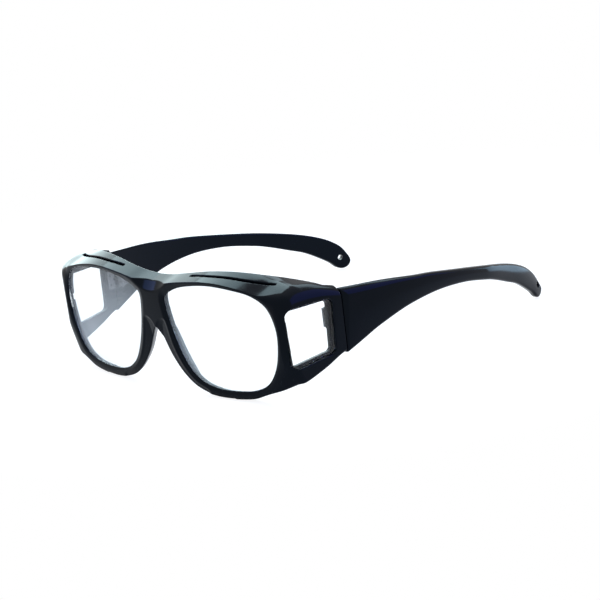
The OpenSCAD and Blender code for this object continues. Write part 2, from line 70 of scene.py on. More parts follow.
# Rounding radii of edges, from the finest up
FINE_R, EDGE_R, SEAT_R, SOFT_R, BLOCK_R, FILLET_R = 0.25, 0.3, 0.35, 0.5, 0.6, 0.9

# Finish of the front: bevels, bulges, recesses, leans and clearances; a pair is a change's start and end
BEVEL_W, BEVEL_NOSE_W, BEVEL_NOSE_X, BEVEL_SLOPE, BEVEL_SOFT = 1.5, 0.8, (14, 26), 0.32, 0.5
BULGE, BULGE_X, BULGE_Y, BULGE_Z = 0.4, (62, 67), (18, 8), (10, 20)
PAD_SLOPE, PAD_DEEP, PAD_STEP, PAD_STEP_W = 0.14, 1.0, 0.2, (0.0, 1.2)
SIDE_LEAN, FRONT_LEAN_Z = 0.036, 37.5
LEAN_FROM_X, ROUND_FROM_X, SIDE_FULL_X, SIDE_FROM_Y, SIDE_TURN = 60, 55, 70, 6, 0.4
SIDE_ROUND_R, CORNER_OUT, CORNER_EDGE_R = 3.4, 0.5, 1.2
RIDGE_UP, SIDE_UP, SIDE_FALL_IN, RIDGE_SOFT = 0.1, 0.5, 2, 1.6
BROW_LOW_Z, LOW_EXTRA, DEEPER, DEEPER_IN, DEEPER_OUT = 38, 0.3, 0.45, (8, 22), (46, 26)
SIDE_LOW_EXTRA, SIDE_LOW_RISE, SIDE_LOW_TILT, SIDE_LOW_X, SIDE_LOW_R = 0.3, 0.3, 0.95, 3.5, 1.1
BEARING_Z, BEARING_SHARES = (-1, 0.6, 4, 9, 14, 40), (0.2, 0.5, 0.76, 0.94, 1, 1)
BEARING_SET, BEARING_SET_R, BEARING_X, ARCH_X, BLOCK_SET = 1.5, 0.2, 34, 40, 0.8
FRONT_BACK_Y, SEAT_SPARE, SIDE_CUT_X, WINDOW_CUT_X = 18, 0.6, 66, 1

# Finish of the temples: the turned tip, the crowned side and its roundings
TIP_SHIFT, TIP_SHIFT_Y, TIP_SHIFT_Z = 0.5, (95, 135), (3, 12)
TIP_TWIST, TIP_TWIST_Y, TIP_TWIST_Z = 0.11, (120, 146), 11
CROWN, CROWN_LEN, CROWN_HALF, TEMPLE_LEAN_Y, TEMPLE_LEAN_Z = 0.55, 12, 2, (90, 45), 35.5
ARM_EDGE_R, ARM_TOP_R, ARM_TOP_Y, ARM_TOP_Z, ARM_INNER_R, BOSS_SET = 1.1, 2.2, (85, 40), (18, 36), 0.8, 1.2

# Distances that stand for well outside and well inside a shape, and the least length and square to divide by
OUTSIDE, INSIDE, TINY, TINY_SQUARE = 9.0, -20.0, 1e-9, 1e-12

COARSE = 1.0
CHUNK = 24


# Curves through points
def cubic(a, b, c, d, t):
    return b + t * (c - a) / 2 + t * t * (a - 2.5 * b + 2 * c - d / 2) + t**3 * (1.5 * (b - c) + (d - a) / 2)


def closed_curve(points, n):
    p = np.asarray(points, float)
    m = len(p)
    t = np.arange(n)[:, None] / n
    return np.vstack([cubic(p[i - 1], p[i], p[(i + 1) % m], p[(i + 2) % m], t) for i in range(m)])


def open_curve(points, n=8):
    p = np.asarray(points, float)
    m = len(p)
    t = np.arange(n)[:, None] / n
    parts = [cubic(p[max(i - 1, 0)], p[i], p[i + 1], p[min(i + 2, m - 1)], t) for i in range(m - 1)]
    return np.vstack(parts + [p[-1:]])


def normals_of(p):
    t = np.roll(p, -1, axis=0) - np.roll(p, 1, axis=0)
    t /= np.linalg.norm(t, axis=1)[:, None]
    return np.stack([-t[:, 1], t[:, 0]], axis=1)


def segment_distance(points, a, b):
    best = np.full(len(points), np.inf)
    for start in range(0, len(a), CHUNK):
        pa = points[:, None, :] - a[None, start : start + CHUNK]
        ba = (b - a)[None, start : start + CHUNK]
        h = np.clip((pa * ba).sum(-1) / np.maximum((ba * ba).sum(-1), TINY_SQUARE), 0, 1)
        best = np.minimum(best, np.linalg.norm(pa - ba * h[..., None], axis=-1).min(axis=1))
    return best


def inside_polygon(points, poly):
    x, y = points[:, 0], points[:, 1]
    hit = np.zeros(len(points), bool)
    for (x0, y0), (x1, y1) in zip(poly, np.roll(poly, -1, axis=0)):
        if y0 != y1:
            hit ^= ((y0 > y) != (y1 > y)) & (x < (x1 - x0) * (y - y0) / (y1 - y0) + x0)
    return hit


class Table:
    """Signed distance to a drawn line, negative inside the polygon, kept on a grid and read smoothly."""

    MANY = 400000  # above this many points the reading is linear
    INNER = 3.001  # keeps every reading where the grid has lines on both sides

    def __init__(self, line, poly, lo, hi, closed=True, step=0.4):
        self.lo, self.step = np.array(lo, float), step
        self.n = [int(math.ceil((h - l) / step)) + 1 for l, h in zip(lo, hi)]
        u = self.lo[0] + step * np.arange(self.n[0])
        v = self.lo[1] + step * np.arange(self.n[1])
        grid = np.stack(np.meshgrid(u, v, indexing="ij"), axis=-1).reshape(-1, 2)
        line = np.asarray(line, float)
        ends = np.roll(line, -1, axis=0) if closed else line[1:]
        d = segment_distance(grid, line if closed else line[:-1], ends)
        sign = np.where(inside_polygon(grid, np.asarray(poly, float)), -1, 1)
        self.v = (d * sign).reshape(self.n)

    def __call__(self, a, b):
        u = np.clip((a - self.lo[0]) / self.step, 1, self.n[0] - self.INNER)
        v = np.clip((b - self.lo[1]) / self.step, 1, self.n[1] - self.INNER)
        i, j = u.astype(int), v.astype(int)
        fu, fv = u - i, v - j
        if u.size > self.MANY:
            near = self.v[i, j] * (1 - fu) + self.v[i + 1, j] * fu
            far = self.v[i, j + 1] * (1 - fu) + self.v[i + 1, j + 1] * fu
            return near * (1 - fv) + far * fv
        rows = [cubic(*[self.v[i + k, j + m] for k in (-1, 0, 1, 2)], fu) for m in (-1, 0, 1, 2)]
        return cubic(*rows, fv)


class Height:
    """A smooth line read as a function of its first coordinate."""

    END = 1.001  # keeps every reading before the last point

    def __init__(self, points, step=0.5, rounds=3):
        p = np.asarray(points, float)
        self.lo, self.step = p[0, 0], step
        n = int(math.ceil((p[-1, 0] - p[0, 0]) / step)) + 1
        s = np.interp(self.lo + step * np.arange(n), p[:, 0], p[:, 1])
        for _ in range(rounds):
            s[1:-1] = (s[:-2] + 2 * s[1:-1] + s[2:]) / 4
        self.s = s

    def __call__(self, x):
        u = np.clip((x - self.lo) / self.step, 0, len(self.s) - self.END)
        i = np.clip(u.astype(int), 1, len(self.s) - 3)
        return cubic(self.s[i - 1], self.s[i], self.s[i + 1], self.s[i + 2], u - i)


# Cutting and joining distances, with rounded edges of radius r or a blend of a given width
def cut(a, b, r):
    return np.minimum(np.maximum(a, b), -r) + np.hypot(np.maximum(a + r, 0), np.maximum(b + r, 0))


def join(a, b, r):
    return -cut(-a, -b, r)


def blend_cut(a, b, width):
    h = np.maximum(width - np.abs(a - b), 0) / width
    return np.maximum(a, b) + h * h * width / 4


def smooth_step(a, b, x):
    t = np.clip((x - a) / (b - a), 0, 1)
    return t * t * (3 - 2 * t)


# Lens opening as on the construction: shares of its width and height
lens_shares = [
    (0, 0.8), (0.055, 0.89), (0.2, 0.962), (0.44, 1), (0.68, 0.977), (0.84, 0.93), (0.95, 0.82), (1, 0.6),
    (0.965, 0.32), (0.88, 0.12), (0.75, 0.031), (0.57, 0.0026), (0.4, 0.0086), (0.25, 0.066), (0.14, 0.205),
    (0.05, 0.475),
]
LENS_STEPS = 12
lens_points = [(LENS_X + a * LENS_W, RIM_LOW + b * LENS_H) for a, b in lens_shares]
lens_line = closed_curve(lens_points, LENS_STEPS)
lens_out = normals_of(lens_line)


def rim_edge(i):
    x, z = lens_line[i]
    share = max(0, z - RIM_LOW) / LENS_H
    wide = RIM_LOW + (RIM_NOSE - RIM_LOW) * math.sin(math.pi / 2 * min(1, share / NOSE_RIM_SHARE))
    width = wide if x < LENS_X + LENS_W / 2 else RIM_LOW
    return lens_line[i] + width * lens_out[i]


# Lower edge of the front, from outside the corner in to the nose arch, and its mirror image
BEYOND_SEAM, ABOVE_ALL, LOW_ROUNDS = 8, 95, 6
RIM_FIRST, RIM_LAST = 10 * LENS_STEPS, 15 * LENS_STEPS
corner_points = [
    (SEAM_X + BEYOND_SEAM, CORNER_LOW_Z + 0.6), (SEAM_X - 3, CORNER_LOW_Z - 0.7),
    (LENS_X + 0.9 * LENS_W, CORNER_LOW_Z - 3.3), rim_edge(RIM_FIRST),
]
rim_points = [rim_edge(i) for i in range(RIM_FIRST, RIM_LAST + 1)]
arch_points = [(1.1, ARCH_Z - 0.5), (0, ARCH_Z)]
low_line = np.vstack([open_curve(corner_points, LENS_STEPS)[:-1], rim_points, arch_points])
for _ in range(LOW_ROUNDS):
    low_line[1:-1] = (low_line[:-2] + 2 * low_line[1:-1] + low_line[2:]) / 4
mirrored_low = low_line[::-1] * [-1, 1]
above = [(-SEAM_X - BEYOND_SEAM, ABOVE_ALL), (SEAM_X + BEYOND_SEAM, ABOVE_ALL)]
low_whole = np.vstack([low_line, mirrored_low[1:]])
low_table = Table(low_whole, np.vstack([low_whole, above]), lo=(-6, -5), hi=(82, 56), closed=False)
lens_table = Table(lens_line, lens_line, lo=(-4, -6), hi=(82, 56))

# Recess beside the nose, seen from the front
pad_points = [
    (0.4, 27.2), (2.2, 29.6), (4.6, 30.7), (6.6, 30.2), (7.6, 27.6), (8.5, 23.2), (9.6, 19.2), (11.6, 14.8),
    (14.6, 10.3), (19.6, 5.6), (27, 1.6), (22, -4), (8, -4), (-1.5, 8), (-1.5, 22),
]
pad_line = closed_curve(pad_points, 8)
pad_table = Table(pad_line, pad_line, lo=(-4, -6), hi=(82, 56))

# Brow ridge over the front: share of the opening's width, drop below its highest point
ridge_drops = [
    (-0.134, 2.9), (0, 2.3), (0.11, 1.3), (0.215, 0.6), (0.337, 0.05), (0.44, 0), (0.545, 0.4), (0.667, 1.5),
    (0.77, 2.9), (0.885, 4.9), (1, 5.9), (1.11, 6.9), (1.3, 8.6),
]
ridge = Height(open_curve([(LENS_X + a * LENS_W, LENS_TOP + BROW_RISE - d) for a, d in ridge_drops]))

# Upper edge of the side wall from the front back: share of the depth, drop
side_drops = [(-0.5, -0.8), (0, -0.3), (0.33, 0), (0.52, 0.5), (0.73, 1.3), (0.9, 2.8), (1.03, 4.35), (1.2, 6.7)]
side_top = Height(open_curve([(a * SEAM_Y, SIDE_TOP_Z - d) for a, d in side_drops]))

# Lower edge of the side wall from the corner back: shares of its length and rise
low_shares = [
    (-0.5, -0.8), (-0.2, -0.3), (0, -0.06), (0.24, 0.1), (0.44, 0.3), (0.64, 0.53), (0.78, 0.74), (0.92, 0.93),
    (1.04, 1.02), (1.2, 1.05),
]
low_length, low_rise = SEAM_Y - SIDE_LOW_Y, SIDE_LOW_Z - CORNER_LOW_Z
side_low = Height(open_curve([(SIDE_LOW_Y + a * low_length, CORNER_LOW_Z + b * low_rise) for a, b in low_shares]))

# Back edge of the brow from above: share of the half width, distance behind its middle
back_points = [
    (0, 0), (0.2, -0.1), (0.35, 1.4), (0.49, 3.6), (0.61, 6.5), (0.705, 10.1), (0.79, 14.8), (0.87, 19.4),
    (0.95, 24.2), (1.05, 30),
]
brow_back = Height(open_curve([(a * SEAM_X, BROW_DEPTH + b) for a, b in back_points]))

# Middle line of a vent slot: share of the half width, distance behind its inner end
slot_points = [(0.29, 0), (0.42, 0.55), (0.545, 2.25), (0.68, 5.1), (0.81, 9.7)]
slot_line = open_curve([(a * SEAM_X, SLOT_SETBACK + b) for a, b in slot_points])
SLOT_SPREAD = 0.01
slot_ring = np.vstack([slot_line, slot_line[::-1] + [0, SLOT_SPREAD]])
slot_table = Table(slot_ring, slot_ring, lo=(-4, -3), hi=(82, 40))

# Side window, seen from the side: front top, back top, back bottom, front bottom, as shares of its size
window_shares = ((0, 1), (1, 0.98), (0.965, 0.06), (0.01, -0.02))
window_corners = [(WINDOW_Y + a * WINDOW_LEN, WINDOW_Z + b * WINDOW_H) for a, b in window_shares]


def rounded_polygon(corners, grow, r, steps=8):
    p = [np.array(c, float) for c in corners]
    out = []
    for i, c in enumerate(p):
        a = (c - p[i - 1]) / np.linalg.norm(c - p[i - 1])
        b = (p[(i + 1) % len(p)] - c) / np.linalg.norm(p[(i + 1) % len(p)] - c)
        na, nb = np.array([-a[1], a[0]]), np.array([-b[1], b[0]])
        centre = c + (grow - r) * (na + nb) / (1 + na @ nb)
        start, end = math.atan2(na[1], na[0]), math.atan2(nb[1], nb[0])
        turn = (end - start) % (-2 * math.pi)
        for k in range(steps + 1):
            angle = start + turn * k / steps
            out.append(centre + r * np.array([math.cos(angle), math.sin(angle)]))
    return np.array(out)


# Window seat and its smaller see-through part, whose ledge is wider at the frame's corner
CORNER_EDGE_Z, CORNER_EDGE_LEAN = 27, 0.05
seat_line = rounded_polygon(window_corners, 0, WINDOW_R)
through = rounded_polygon(window_corners, -LEDGE_W, WINDOW_R - LEDGE_W)
through_front = WINDOW_Y + CORNER_LEDGE - CORNER_EDGE_LEAN * (through[:, 1] - CORNER_EDGE_Z)
through[:, 0] = np.maximum(through[:, 0], through_front)
seat_table = Table(seat_line, seat_line, lo=(0, 6), hi=(40, 48))
through_table = Table(through, through, lo=(0, 6), hi=(40, 48))

# Rounded outline of the front, seen from above
side_dir = np.array([math.sin(SIDE_FLARE), math.cos(SIDE_FLARE)])
side_out = np.array([math.cos(SIDE_FLARE), -math.sin(SIDE_FLARE)])
from_centre = np.array([SEAM_X, SEAM_Y]) - CORNER_R * side_out - [0, FRONT_R]
apart = (from_centre @ side_dir) ** 2 - from_centre @ from_centre + (FRONT_R - CORNER_R) ** 2
corner = np.array([0, FRONT_R]) + from_centre + (-(from_centre @ side_dir) - math.sqrt(apart)) * side_dir
corner_from = math.asin(corner[0] / (FRONT_R - CORNER_R))
corner_normal = np.array([math.sin(corner_from), -math.cos(corner_from)])
corner_reach = corner[0] * math.cos(CORNER_VIEW) - corner[1] * math.sin(CORNER_VIEW) + CORNER_R


def lean_back(y, z):
    return y * math.cos(LEAN) + (z - LEAN_Z) * math.sin(LEAN)


def skin(x, y):
    front = np.hypot(x, y - FRONT_R) - FRONT_R
    side = (x - SEAM_X) * side_out[0] + (y - SEAM_Y) * side_out[1]
    u, v = x - corner[0], y - corner[1]
    wedge = (corner_normal[0] * v - corner_normal[1] * u > 0) & (u * side_out[1] - v * side_out[0] > 0)
    return np.where(wedge, np.hypot(u, v) - CORNER_R, np.maximum(front, side))


def corner_trim(x, y, z):
    s = x * math.cos(CORNER_VIEW) - y * math.sin(CORNER_VIEW) - corner_reach
    turn = np.clip(np.arctan2(z - DOME_Z, s + DOME_R), 0, DOME_TURN)
    dome = (s + DOME_R) * np.cos(turn) + (z - DOME_Z) * np.sin(turn) - DOME_R
    return np.maximum(dome, (s + TAPER * (TAPER_Z - z)) / math.hypot(1, TAPER))


def top_distance(x, y, z):
    over = (z - RIDGE_UP - ridge(x) - math.tan(BROW_SLOPE) * y) * math.cos(BROW_SLOPE)
    fall = math.tan(SIDE_FALL) * (x - SEAM_X + SIDE_FALL_IN)
    side = (z - SIDE_UP - side_top(y) + fall) * math.cos(SIDE_FALL)
    return blend_cut(over, side, RIDGE_SOFT)


# One on the side walls and zero on the front, with a change that starts at from_x
def on_side(from_x, x, y):
    return smooth_step(from_x, SIDE_FULL_X, x + SIDE_TURN * np.maximum(y - SIDE_FROM_Y, 0))


# Outside of the front, with the rim bevels, the recess by the nose and the rounded upper edges
def outside(x, y, z, base, rim, top):
    pad = pad_table(x, z)
    bevel_w = BEVEL_W + BEVEL_NOSE_W * (1 - smooth_step(*BEVEL_NOSE_X, x))
    bulge = smooth_step(*BULGE_X, x) * smooth_step(*BULGE_Y, y) * smooth_step(*BULGE_Z, z)
    recess = np.clip(-pad * PAD_SLOPE, 0, PAD_DEEP)
    d = base - BULGE * bulge + recess + PAD_STEP * smooth_step(*PAD_STEP_W, -pad)
    d = d + BEVEL_SLOPE * blend_cut(bevel_w - rim, 0, BEVEL_SOFT)
    d = d + SIDE_LEAN * on_side(LEAN_FROM_X, x, y) * np.maximum(z - FRONT_LEAN_Z, 0) ** 2
    d = cut(d, top, SEAT_R + SIDE_ROUND_R * on_side(ROUND_FROM_X, x, y))
    return cut(d, corner_trim(x, y, z) - CORNER_OUT, CORNER_EDGE_R)


def nose_bearing(x, y, z, base, arch):
    depth = np.interp(z, BEARING_Z, np.array(BEARING_SHARES) * NOSE_DEPTH)
    d = cut(cut(arch, -(arch + NOSE_T), EDGE_R), y - depth, BLOCK_R)
    d = cut(d, base + BEARING_SET, BEARING_SET_R)
    d = cut(d, z - ARCH_Z - NOSE_T, EDGE_R)
    return np.maximum(d, x - BEARING_X)


def hinge_block(x, y, z, base):
    d = np.maximum(BLOCK_X - x, np.abs(z - HINGE_Z) - BLOCK_H / 2)
    return np.maximum(cut(d, SEAM_Y - BLOCK_LEN - y, BLOCK_R), base + BLOCK_SET)


def brow_scoop(x, y, z):
    along = y * math.cos(FACET_SLOPE) - (z - FACET_Z) * math.sin(FACET_SLOPE)
    return np.hypot(x, along + FACET_R) - FACET_R


# Lens openings, lens seats, side windows, lower side edges and vent slots, cut in that order
def with_openings(body, x, y, z, base, rim):
    body = cut(body, -np.maximum(rim, y - FRONT_BACK_Y), EDGE_R)
    behind = np.maximum(-(base + WALL_T + SEAT_SPARE), y - FRONT_BACK_Y)
    body = np.maximum(body, -np.maximum(np.maximum(rim - LIP_W, base + LIP_T - LENS_GAP), behind))
    side_seat = np.maximum(seat_table(y, z), -(base + SIDE_LENS_SET + SIDE_LENS_T + LENS_GAP))
    body = cut(body, -np.maximum(side_seat, SIDE_CUT_X - x), SEAT_R)
    body = cut(body, -np.maximum(through_table(y, z), corner[0] + WINDOW_CUT_X - x), FINE_R)
    rise = SIDE_LOW_RISE * np.maximum(corner[0] + SIDE_LOW_X - x, 0)
    body = cut(body, -(z - side_low(y) + SIDE_LOW_EXTRA + rise) * SIDE_LOW_TILT, SIDE_LOW_R)
    return cut(body, -np.maximum(slot_table(x, y) - SLOT_W / 2, BROW_LOW_Z - z), FINE_R)


def front_frame(x, y, z):
    x = np.abs(x)
    base = skin(x, lean_back(y, z))
    rim = lens_table(x, z)
    top = top_distance(x, y, z)
    outer = outside(x, y, z, base, rim, top)
    slanted = low_table(np.maximum(x - math.tan(NOSE_FLARE) * np.maximum(y, 0), 0), z) * math.cos(NOSE_FLARE)
    arch = np.where(x < ARCH_X, slanted, INSIDE)
    brow = np.maximum(cut(-(top + BROW_T), y - brow_back(x), SOFT_R), BROW_LOW_Z - z)
    shell = cut(outer, join(-(base + WALL_T), brow, FILLET_R), SEAT_R)
    deeper = DEEPER * smooth_step(*DEEPER_IN, x) * smooth_step(*DEEPER_OUT, x)
    shell = cut(cut(shell, low_table(x, z) - LOW_EXTRA - deeper, SOFT_R), arch - deeper, SOFT_R)
    body = join(shell, nose_bearing(x, y, z, base, arch), EDGE_R)
    body = join(body, hinge_block(x, y, z, base), BLOCK_R)
    body = cut(body, y - SEAM_Y, EDGE_R)
    body = cut(body, -brow_scoop(x, y, z), EDGE_R)
    return with_openings(body, x, y, z, base, rim)


# Temple outline from the side: share of its length and height above the ground
temple_points = [
    (0.1, TEMPLE_TOP_Z - 1.2), (0.2, 38), (0.3, 35.9), (0.4, 33.9), (0.58, 28.9), (0.78, 22.2), (0.89, 17),
    (0.955, 11.8), (0.988, 6.8), (1, 3.4), (0.992, 0.9), (0.974, 0), (0.953, 1), (0.92, 4.7), (0.84, 10.8),
    (0.775, 14.3), (0.7, 18.2), (0.64, 20.8), (0.52, 24.6), (0.39, 26.1), (0.26, 24.7), (0.14, 20.8),
    (0.07, TEMPLE_LOW_Z + 3.3),
]
temple_side = [(SEAM_Y + a * TEMPLE_LEN, b) for a, b in temple_points]
temple_line = open_curve([(TEMPLE_Y, TEMPLE_TOP_Z)] + temple_side + [(TEMPLE_Y, TEMPLE_LOW_Z)], 10)
temple_table = Table(temple_line, temple_line, lo=(30, -5), hi=(174, 46), step=0.5)
split = int(np.argmax(temple_line[:, 0]))
upper = Height(temple_line[: split + 1])
lower = Height(temple_line[split:][::-1])
temple_centre = np.array([SEAM_X - math.sqrt(TEMPLE_R**2 - TEMPLE_BELLY**2), SEAM_Y + TEMPLE_BELLY])
hole_turn = math.asin((TEMPLE_END - HOLE_INSET - temple_centre[1]) / (TEMPLE_R - TEMPLE_T / 2))

# Boss that carries the temple's hinge leaf, seen from above
leaf_end = SEAM_Y + SEAM_GAP / 2 + LEAF_EDGE + LEAF_LEN
boss_line = np.array([
    (BLOCK_X, TEMPLE_Y), (BLOCK_X, leaf_end + 0.3), (SEAM_X - 1, leaf_end + BOSS_FADE),
    (SEAM_X - TEMPLE_T / 2, TEMPLE_Y),
])
boss_table = Table(boss_line, boss_line, lo=(58, 30), hi=(84, 70), step=0.3)


def temple(x, y, z):
    dx, dy = x - temple_centre[0], y - temple_centre[1]
    r = np.hypot(dx, dy)
    side = temple_table(y, z - TIP_SHIFT * smooth_step(*TIP_SHIFT_Y, y) * smooth_step(*TIP_SHIFT_Z, z))
    r = r + TIP_TWIST * (z - TIP_TWIST_Z) * smooth_step(*TIP_TWIST_Y, y)
    high, deep = upper(y), lower(y)
    v = np.clip((z - (high + deep) / 2) / np.maximum((high - deep) / 2, CROWN_HALF), -1, 1)
    crown = CROWN * v * v * smooth_step(SEAM_Y, SEAM_Y + CROWN_LEN, y)
    crown = crown + SIDE_LEAN * np.maximum(z - TEMPLE_LEAN_Z, 0) ** 2 * smooth_step(*TEMPLE_LEAN_Y, y)
    edge_r = ARM_EDGE_R + ARM_TOP_R * smooth_step(*ARM_TOP_Y, y) * smooth_step(*ARM_TOP_Z, z)
    body = cut(cut(r - TEMPLE_R + crown, side, edge_r), -(r - TEMPLE_R + TEMPLE_T), ARM_INNER_R)
    boss = cut(boss_table(x, y), np.abs(z - HINGE_Z) - BLOCK_H / 2, SOFT_R)
    body = join(body, np.maximum(boss, r - TEMPLE_R + BOSS_SET), ARM_INNER_R)
    body = cut(body, TEMPLE_Y - y, EDGE_R)
    u = dx * math.cos(hole_turn) + dy * math.sin(hole_turn)
    w = -dx * math.sin(hole_turn) + dy * math.cos(hole_turn)
    return cut(body, -np.where(u > 0, np.hypot(w, z - HOLE_Z) - HOLE_R, OUTSIDE), FINE_R)


# Grid lines from stretches: start, end and step of each
def lines(*stretches):
    out = []
    for start, end, step in stretches:
        n = int(math.ceil((end - start) / (step * COARSE)))
        out += [start + (end - start) * k / n for k in range(n)]
    return np.array(out + [stretches[-1][1]])


# Middle of the crossings in each cell, as shares of the cell
def cell_shares(values, cells, corners):
    total, hits = np.zeros((len(cells), 3)), np.zeros(len(cells))
    for a in corners:
        for k in range(3):
            if a[k] == 0:
                b = list(a)
                b[k] = 1
                va = values[tuple((cells + a).T)]
                vb = values[tuple((cells + b).T)]
                crossing = (va < 0) != (vb < 0)
                t = np.where(crossing, va / np.where(crossing, va - vb, 1), 0)
                point = np.array(a, float) + t[:, None] * (np.array(b) - np.array(a))
                total += point * crossing[:, None]
                hits += crossing
    return total / hits[:, None]


# One face for each grid edge that crosses the surface, between the four cells around it
def cell_faces(inside, index):
    faces = []
    for k in range(3):
        u, v = (k + 1) % 3, (k + 2) % 3
        here, there = [slice(1, -1)] * 3, [slice(1, -1)] * 3
        here[k], there[k] = slice(0, -1), slice(1, None)
        a, b = inside[tuple(here)], inside[tuple(there)]
        e = np.argwhere(a != b)
        quad = []
        for du, dv in ((0, 0), (1, 0), (1, 1), (0, 1)):
            c = e.copy()
            c[:, u] += du
            c[:, v] += dv
            quad.append(index[tuple(c.T)])
        quad = np.stack(quad, axis=1)
        flip = b[tuple(e.T)]
        quad[flip] = quad[flip][:, ::-1]
        faces.append(quad)
    return np.vstack(faces)


# Surface of a distance function on a grid, with its points settled on the surface
SLOPE_STEP, SETTLE_ROUNDS, SETTLE_REACH, LEAST_SLOPE = 0.02, 4, 0.35, 0.2


def surface(f, *axes):
    n = [len(a) for a in axes]
    values = np.empty(n, np.float32)
    for i in range(0, n[0], CHUNK):
        values[i : i + CHUNK] = f(*np.meshgrid(axes[0][i : i + CHUNK], axes[1], axes[2], indexing="ij"))
    inside = values < 0
    corners = [(a, b, c) for a in (0, 1) for b in (0, 1) for c in (0, 1)]
    parts = [inside[a : n[0] - 1 + a, b : n[1] - 1 + b, c : n[2] - 1 + c] for a, b, c in corners]
    count = sum(part.astype(np.int8) for part in parts)
    active = (count > 0) & (count < len(corners))
    index = np.full(active.shape, -1, np.int64)
    cells = np.argwhere(active)
    index[active] = np.arange(len(cells))
    share = cell_shares(values, cells, corners)
    width = [np.diff(axes[k])[cells[:, k]] for k in range(3)]
    verts = np.stack([axes[k][cells[:, k]] + share[:, k] * width[k] for k in range(3)], axis=1)
    room = np.min(width, axis=0)
    for _ in range(SETTLE_ROUNDS):
        value = f(*verts.T)
        steps = np.eye(3) * SLOPE_STEP
        slopes = [(f(*(verts + d).T) - f(*(verts - d).T)) / (2 * SLOPE_STEP) for d in steps]
        grad = np.stack(slopes, axis=1)
        move = -(value / np.maximum((grad * grad).sum(1), LEAST_SLOPE))[:, None] * grad
        reach = np.maximum(np.linalg.norm(move, axis=1), TINY)
        verts = verts + move * np.minimum(1, SETTLE_REACH * room / reach)[:, None]
    return verts, cell_faces(inside, index), grad / np.maximum(np.linalg.norm(grad, axis=1), TINY)[:, None]


def to_row(v):
    return (np.asarray(v, float) - [0, MID_Y, 0]) / 1000


def make_mesh(name, verts, faces, normals=None):
    me = bpy.data.meshes.new(name)
    if isinstance(faces, np.ndarray):
        me.vertices.add(len(verts))
        me.vertices.foreach_set("co", np.asarray(verts, np.float32).ravel())
        me.loops.add(faces.size)
        me.loops.foreach_set("vertex_index", faces.ravel().astype(np.int32))
        me.polygons.add(len(faces))
        me.polygons.foreach_set("loop_start", (np.arange(len(faces)) * faces.shape[1]).astype(np.int32))
        me.update(calc_edges=True)
    else:
        me.from_pydata([tuple(v) for v in verts], [], faces)
        me.update()
    me.polygons.foreach_set("use_smooth", [True] * len(me.polygons))
    if normals is not None:
        me.normals_split_custom_set_from_vertices(normals)
    ob = bpy.data.objects.new(name, me)
    bpy.context.scene.collection.objects.link(ob)
    return ob


def mirrored(verts, faces):
    turned = faces[:, ::-1] if isinstance(faces, np.ndarray) else [f[::-1] for f in faces]
    return verts * [-1, 1, 1], turned


def add(name, verts, faces, body, nodes, material, normals=None):
    ob = make_mesh(name, to_row(verts), faces, normals)
    ob.data.materials.append(material)
    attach(ob, body)
    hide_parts(*nodes)


# Curved clear plates: rings of an outline, a front and a back face and the edge between them
RING_EASE = 1.3


def plate(outline, centre, front_at, back_at, rings=18):
    n = len(outline)
    middle = np.array(centre)
    verts, faces = [], []
    for at, way in ((front_at, 1), (back_at, -1)):
        start = len(verts)
        verts.append(at(*centre))
        for k in range(1, rings + 1):
            s = 1 - (1 - k / rings) ** RING_EASE
            verts += [at(*(middle + s * (p - middle))) for p in outline]
        for i in range(n):
            j = (i + 1) % n
            faces.append([start, start + 1 + i, start + 1 + j][::way])
            for k in range(rings - 1):
                a, b = start + 1 + k * n, start + 1 + (k + 1) * n
                faces.append([a + i, b + i, b + j, a + j][::way])
    one, two = 1 + (rings - 1) * n, 1 + rings * n + 1 + (rings - 1) * n
    for i in range(n):
        j = (i + 1) % n
        faces.append([one + i, two + i, two + j, one + j])
    return np.array(verts), faces


def front_point(depth):
    def at(x, z):
        y = FRONT_R - math.sqrt((FRONT_R - depth) ** 2 - x * x)
        return (x, (y - (z - LEAN_Z) * math.sin(LEAN)) / math.cos(LEAN), z)
    return at


def side_point(depth):
    def at(y, z):
        yl = lean_back(y, z)
        near = corner[1] - yl
        r = CORNER_R - depth
        if near > r * math.sin(SIDE_FLARE):
            return (corner[0] + math.sqrt(max(r * r - near * near, 0.01)), y, z)
        return (SEAM_X - depth / math.cos(SIDE_FLARE) + (yl - SEAM_Y) * math.tan(SIDE_FLARE), y, z)
    return at


# Materials
def new_material(name):
    m = bpy.data.materials.new(name)
    m.use_nodes = True
    m.node_tree.nodes.clear()
    return m, m.node_tree.nodes, m.node_tree.links


def new_node(nodes, kind, values=()):
    made = nodes.new("ShaderNode" + kind)
    for name, value in dict(values).items():
        made.inputs[name].default_value = value
    return made


def map_range(nodes, start, end, low, high):
    return new_node(nodes, "MapRange", {"From Min": start, "From Max": end, "To Min": low, "To Max": high})


# Noise levels at which roughness, haze and the plastic's colour reach their two ends
NOISE_LOW, NOISE_HIGH = 0.3, 0.7


def noise(nodes, links, coords, scale, detail, low, high, to):
    t = new_node(nodes, "TexNoise", {"Scale": scale, "Detail": detail})
    r = map_range(nodes, NOISE_LOW, NOISE_HIGH, low, high)
    links.new(coords, t.inputs["Vector"])
    links.new(t.outputs["Fac"], r.inputs["Value"])
    links.new(r.outputs["Result"], to)


# Base colour that varies with noise between two colours, reached at the noise levels in ends
def toned(nodes, links, coords, noise_values, ends, colours, bsdf):
    tone = new_node(nodes, "TexNoise", noise_values)
    ramp = new_node(nodes, "ValToRGB")
    for element, end, colour in zip(ramp.color_ramp.elements, ends, colours):
        element.position, element.color = end, (*colour, 1)
    links.new(coords, tone.inputs["Vector"])
    links.new(tone.outputs["Fac"], ramp.inputs["Fac"])
    links.new(ramp.outputs["Color"], bsdf.inputs["Base Color"])


